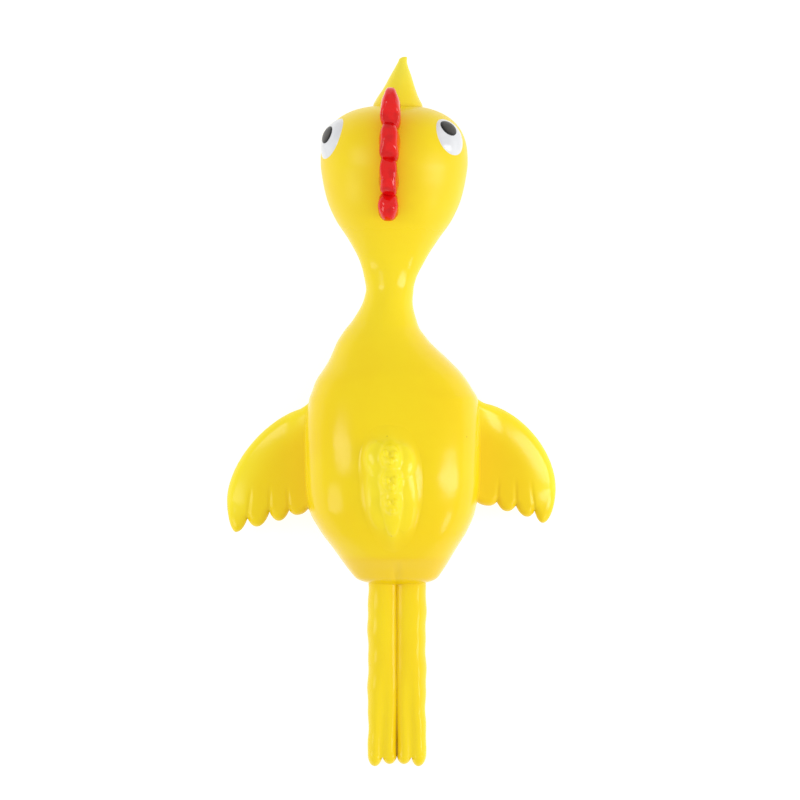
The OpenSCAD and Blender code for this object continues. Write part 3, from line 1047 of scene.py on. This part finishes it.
@dataclass
class Tail:
    """The tuft on the back: a low mound, two fan lobes, two petals, a fin, and three knobbed tiers."""

    palette: Palette
    trunk: Trunk
    mound: Pairs = (
        (-23.4, 0.0), (-21.0, 0.3), (-18.0, 0.8), (-14.0, 1.4), (-10.0, 1.6), (-7.0, 1.3), (-4.8, 0.6),
        (-2.2, 0.0),
    )
    mound_half: Pairs = ((-23.4, 3.0), (-19.0, 4.6), (-14.0, 5.8), (-9.0, 5.8), (-5.0, 5.0), (-2.2, 4.0))
    crest: Pairs = ((-23.0, 0.05), (-8.0, -0.45), (-3.0, -0.6))
    soft: float = 0.42
    skirt: float = 2.0
    sunk: float = 1.6
    settled: float = 0.03
    bend: tuple[Point, Point] = ((0, -12.3, 24.0), (0, -11.9, 27.0))
    domes: tuple[tuple[float, ...], ...] = (
        # across, y, half width, half length, foot, height
        (-1.95, -7.9, 2.05, 2.8, 0.7, 0.9),
        (1.85, -8.3, 2.00, 2.8, 0.7, 0.9),
        (-1.85, -13.6, 2.15, 5.8, 0.3, 0.8),
        (1.85, -13.8, 2.15, 6.0, 0.3, 0.8),
        (0.00, -13.0, 1.75, 7.5, 0.6, 1.3),
        (0.10, -7.6, 1.60, 2.1, 2.0, 1.3),
        (0.00, -11.4, 1.55, 2.1, 2.0, 1.2),
        (0.05, -15.0, 1.45, 2.0, 1.6, 1.1),
        (-0.70, -7.0, 0.45, 0.6, 3.1, 0.45),
        (0.72, -7.2, 0.45, 0.6, 3.1, 0.5),
        (0.05, -8.3, 0.40, 0.5, 3.3, 0.4),
        (-0.66, -11.4, 0.43, 0.6, 2.9, 0.45),
        (0.70, -11.3, 0.45, 0.6, 2.9, 0.5),
        (0.10, -12.5, 0.40, 0.5, 2.9, 0.4),
        (-0.60, -15.0, 0.40, 0.5, 2.4, 0.45),
        (0.62, -14.9, 0.43, 0.5, 2.4, 0.45),
        (0.10, -16.4, 0.40, 0.5, 2.1, 0.4),
    )

    def relief(self, x: Array, y: Array) -> Array:
        """Height of the tuft over the back: the rounded top of a mound and of ellipsoid domes.

        The mound is its crest height times (1 - (across / half)^2)^2, and a dome is foot + height *
        sqrt(1 - (across / half width)^2 - (along / half length)^2), falling away outside its rim.
        """
        across = x - flow(self.crest, y)
        half = flow(self.mound_half, y)
        mound = flow(self.mound, y) * np.clip(1 - (across / half) ** 2, 0, 1) ** 2
        heights = [mound - 0.04]
        for at_x, at_y, wide, long, foot, high in self.domes:
            inside = 1 - ((across - at_x) / wide) ** 2 - ((y - at_y) / long) ** 2
            dome = np.where(inside > 0, high * np.sqrt(np.maximum(inside, 0)), self.skirt * inside)
            heights.append(foot + dome)
        return smooth_top(heights, self.soft)

    def build(self) -> None:
        """Makes the tuft as a patch over the back, closed underneath inside the torso."""
        x, y = np.linspace(-7.2, 6.6, 118), np.linspace(-24.0, -1.5, 190)[:, None]
        back = self.trunk.back_height(x, y)
        over = xyz(x, y, back + self.relief(x, y) - self.settled)
        under = xyz(x, y, back - self.sunk)
        tail = tube("tail_skin", np.concatenate([over, under[:, ::-1]], 1))
        # Painted light: paler where the tuft stands over the back.
        mark(tail, "painted_light", lambda p: ease((self.lift(p) + 0.1) / 1.4))
        # Painted shade: deeper towards the rear.
        mark(tail, "painted_shade", lambda p: 0.25 * ease((-10 - p[:, 1]) / 10))
        dress(tail, self.palette.rubber, ["tail", "left_tail_feathers", "right_tail_feathers"])
        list(map(metres, self.bend))
        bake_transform(tail)

    def lift(self, p: Array) -> Array:
        """How far places stand over the back."""
        return np.maximum(p[:, 2] - self.trunk.back_height(p[:, 0], p[:, 1]), 0)


# ---- legs


@dataclass
class Leg:
    """A long leg that divides into two toes; s counts from the hip bend to the toe tips.

    It is round but for a flat inner side, where it lies along the other leg.
    """

    palette: Palette
    name: str
    side: int
    shift: float = 0.64
    width: float = 4.74
    cut: float = 0.70
    parting_gap: float = 0.002
    hip_y: float = -30.836
    hip_z: float = 9.0
    droop: float = 17.198
    toe_spread: float = 1.19
    toe_tall: float = 1.3775
    crease: float = 0.34
    toes: float = 26.7
    toe_end: tuple[float, float] = (28.1, 28.5)
    crisp: float = 25.0
    hip: float = -3.6
    knee: float = 5.5
    ankle_start: float = 8.5

    def flat(self, s: Array) -> Array:
        """How much of the round section the other leg takes away: less and less towards the toes."""
        return self.cut * (1 - ease((s - 12) / 13))

    def place(self, s: Array, across: Array, up: Array) -> Array:
        """Points at distances along the leg, across it, and square to it.

        They are kept on the leg's own side of the middle and above the table.
        """
        cos, sin = math.cos(math.radians(self.droop)), math.sin(math.radians(self.droop))
        x = self.shift + self.side * np.maximum(self.parting_gap, self.girth(s) - self.flat(s) + across)
        z = np.maximum(0, self.hip_z - s * sin + up * cos)
        return xyz(x, self.hip_y - s * cos - up * sin, z)

    def point(self, s: float) -> Point:
        """The leg's middle at a distance along it, in metres."""
        return metres(self.place(np.array(s), np.array(0.0), np.array(0.0)).tolist())

    def girth(self, s: Array) -> Array:
        """Radius along the leg: nearly even, with slow swellings."""
        wave = 1 + 0.014 * np.sin(0.55 * s + 0.8 * self.side) + 0.010 * np.sin(1.31 * s - self.side)
        return (self.width + self.flat(s)) / 2 * wave

    def rod(self, name: str, s: Array) -> Object:
        """A plain rod along the leg between rising distances."""
        turn, radius = turns(96), self.girth(s)[:, None]
        rings = self.place(s[:, None], radius * np.cos(turn), radius * np.sin(turn))
        return sharpen(tube(name, rings), self.crisp)

    def ankle(self) -> Object:
        """The leg's last stretch, whose section parts into two toes side by side.

        The section has a bell-shaped groove along its top and underside: at a turn t its height is
        r * sin(t) * (1 - depth * exp(-(cos(t) / 0.3)^2)). The depth grows along the leg.
        """
        s = np.append(np.linspace(self.ankle_start, 19.0, 80)[:-1], np.linspace(19.0, self.toes, 40))
        turn, radius = turns(96), self.girth(s)[:, None]
        parting = (ease((s - 9.5) / 16.0) ** 0.8)[:, None]
        tall = (1 - 0.22 * parting) * (1 - self.crease * parting * bell(np.cos(turn) / 0.3))
        across = radius * power(np.cos(turn), 1 - 0.1 * parting)
        rings = self.place(s[:, None], across, tall * radius * np.sin(turn))
        return sharpen(tube(f"{self.name}_ankle", rings), self.crisp)

    def toe(self, number: int) -> Object:
        """One toe's round tip, which starts inside the ankle and ends as an ellipsoid."""
        middle = (-self.toe_spread, self.toe_spread)[number]
        full = float(self.girth(np.array(self.toes))) - self.toe_spread + 0.02
        tip, turn = np.linspace(0, 1.5, 22), turns(56)
        ball = self.toes - 0.25
        round_end = ball + (self.toe_end[number] - ball) * np.sin(tip)
        s = np.append(np.linspace(23.0, self.toes - 0.3, 12), round_end)[:, None]
        radius = full * np.append(np.linspace(0.7, 0.99, 12), np.cos(tip))[:, None]
        rings = self.place(s, middle + radius * np.cos(turn), self.toe_tall * radius * np.sin(turn))
        return tube(f"{self.name}_toe_{number}", rings, (End.FLAT, End.POLE))

    def build(self) -> None:
        """Makes the thigh, the stretching skin and the foot."""
        thigh, shank, foot = (f"{self.name}_{part}" for part in ("thigh", "shank", "foot"))
        self.build_rod("thigh_skin", (self.hip, self.knee), ("torso", thigh), (-1.5, 3.0))
        self.build_rod("stretch_skin", (self.knee, self.ankle_start), (thigh, shank), (5.6, 8.4))
        skin = join_skins(f"{foot}_skin", [self.ankle(), self.toe(0), self.toe(1)])
        self.wrap(sharpen(skin, 30), (shank, foot), (12.6, 17.0))

    def build_rod(
        self, kind: str, reach: tuple[float, float], bodies: tuple[str, str], bend: tuple[float, float]
    ) -> None:
        """Makes a plain stretch of the leg, named for its kind, between two distances along the leg."""
        s = np.linspace(*reach, int((reach[1] - reach[0]) * 6) + 2)
        self.wrap(self.rod(f"{self.name}_{kind}", s), bodies, bend)

    def wrap(self, piece: Object, bodies: tuple[str, str], bend: tuple[float, float]) -> None:
        """Colours a piece of the leg and hides the CAD node that it stands for.

        Args:
            piece: the skin; it stands for the CAD node that is named like the second body.
            bodies: the body that it starts on and the one that it ends on.
            bend: the distances along the leg where it starts and ends to move; their points are worked out
                but not used.
        """
        # Painted light: a little paler everywhere, more towards the toes.
        mark(piece, "painted_light", lambda p: 0.12 + 0.2 * ease((-38 - p[:, 1]) / 18))
        # Painted shade along the inner side and at the hip.
        mark(piece, "painted_shade", self.painted_shade)
        dress(piece, self.palette.rubber, [bodies[1]])
        self.point(bend[0])
        self.point(bend[1])
        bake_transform(piece)

    def painted_shade(self, p: Array) -> Array:
        """Painted shade: deeper orange along the leg's inner side, in the groove against the other leg, and
        at the hip.
        """
        return 0.5 * bell((p[:, 0] - self.shift) / 0.9) + 0.3 * ease((p[:, 1] + 34) / 6)


# ---- studio


@dataclass
class Studio:
    """A pale table lit softly from all round, with four lamps over it and a camera straight above."""

    aim: Point = (1.14, 1.62, 11.6)
    distance: float = 2600.0
    view_width: float = 129.944
    sensor: float = 36.0
    sky: float = 0.74
    lamp_distance: float = 450.0
    table_side: float = 900.0
    lamps: tuple[tuple, ...] = (
        # name, tilt, swing, diameters along and across the bird, radiance
        ("softbox_right", 60, 12, (150, 320), 6.2),
        ("softbox_left", -47, -12, (130, 230), 4.2),
        ("streak_right", 54, 62, (110, 90), 4.2),
        ("streak_left", -60, 42, (150, 250), 2.5),
    )

    def softbox(
        self, name: str, tilt: float, swing: float, size: tuple[float, float], radiance: float
    ) -> None:
        """A lamp on a dome round the bird, facing it.

        Args:
            name: name of the lamp.
            tilt: degrees from straight up towards +X.
            swing: degrees turned towards the toes.
            size: its diameters along and across the bird, in mm.
            radiance: its brightness; its power is radiance * pi * its area.
        """
        tilt, swing = math.radians(tilt), math.radians(swing)
        way = Vector((math.sin(tilt), -math.sin(swing) * math.cos(tilt), math.cos(tilt) * math.cos(swing)))
        lamp = bpy.data.lights.new(name, "AREA")
        lamp.shape, lamp.size, lamp.size_y = "ELLIPSE", size[0] * MM, size[1] * MM
        lamp.energy = radiance * math.pi * lamp.size * lamp.size_y * math.pi / 4
        holder = put(name, lamp)
        holder.location = Vector(metres((0, 0, 12))) + way * self.lamp_distance * MM
        holder.rotation_euler = way.to_track_quat("Z", "Y").to_euler()

    def build(self) -> None:
        """Sets the table, the light and the camera."""
        scene = bpy.context.scene
        scene.view_settings.view_transform = "Standard"
        world = bpy.data.worlds.new("studio")
        world.use_nodes = True
        world.node_tree.nodes.clear()
        shine = world.node_tree.nodes.new("ShaderNodeBackground")
        shine.inputs["Color"].default_value = (1.0, 1.0, 1.0, 1.0)
        shine.inputs["Strength"].default_value = self.sky
        out = world.node_tree.nodes.new("ShaderNodeOutputWorld")
        world.node_tree.links.new(shine.outputs[0], out.inputs[0])
        scene.world = world
        for lamp in self.lamps:
            self.softbox(*lamp)
        self.build_table()
        camera = bpy.data.cameras.new("camera")
        camera.sensor_width = self.sensor
        camera.lens = self.sensor * self.distance / self.view_width
        camera.clip_start, camera.clip_end = 0.01, 10.0
        holder = put("camera", camera)
        holder.location = metres((self.aim[0], self.aim[1], self.aim[2] + self.distance))
        scene.camera = holder

    def build_table(self) -> None:
        """The table: a lit white sheet that keeps only a trace of shadow."""
        side = self.table_side
        corners = [metres((x * side, y * side, -0.1)) for x, y in ((-1, -1), (1, -1), (1, 1), (-1, 1))]
        mesh = bpy.data.meshes.new("table")
        mesh.from_pydata(corners, [], [(0, 1, 2, 3)])
        bench = Bench("white_table")
        sockets = {
            "Base Color": bench.mixed(bench.noise(60, 2), (0.35, 0.35, 0.35), (0.37, 0.37, 0.37)),
            "Roughness": 0.8,
            "Specular IOR Level": 0.0,
            "Emission Color": (1.0, 1.0, 1.0, 1.0),
            "Emission Strength": 0.80,
        }
        mesh.materials.append(bench.finish(sockets))
        put("table", mesh)


def main() -> None:
    """Builds the bird and its studio."""
    logging.basicConfig(level=logging.INFO, format="%(name)s: %(message)s")
    palette = Palette()
    trunk = Trunk(palette)
    trunk.build()
    Comb(palette).build()
    Beak(palette).build()
    Eye(palette, trunk, "right", 1, 44.55, 35, 30, 32, (1.25, 0.3)).build()
    Eye(palette, trunk, "left", -1, 44.4, 20, 16, 29, (0.1, 0.45), radius=3.6).build()
    Wing(
        palette, "left", -1, (14.2, 0.3), (27.05, -14.65), (1.35, 0.56),
        tips=((25.6, -19.9), (22.2, -19.0), (18.6, -18.05), (15.65, -17.1)),
        notches=((23.7, -17.6), (20.1, -16.55), (16.9, -16.3), (13.9, -16.2)),
    ).build()
    Wing(
        palette, "right", 1, (14.1, 1.1), (26.5, -12.7), (1.5, 0.53),
        tips=((24.4, -18.4), (21.9, -17.4), (18.6, -16.5), (15.6, -15.6)),
        notches=((23.05, -16.4), (20.0, -15.5), (16.9, -14.9), (13.7, -15.0)),
    ).build()
    Tail(palette, trunk).build()
    for name, side in (("left", -1), ("right", 1)):
        Leg(palette, name, side).build()
    Studio().build()
    bpy.context.view_layer.update()


if __name__ == "__main__":
    main()
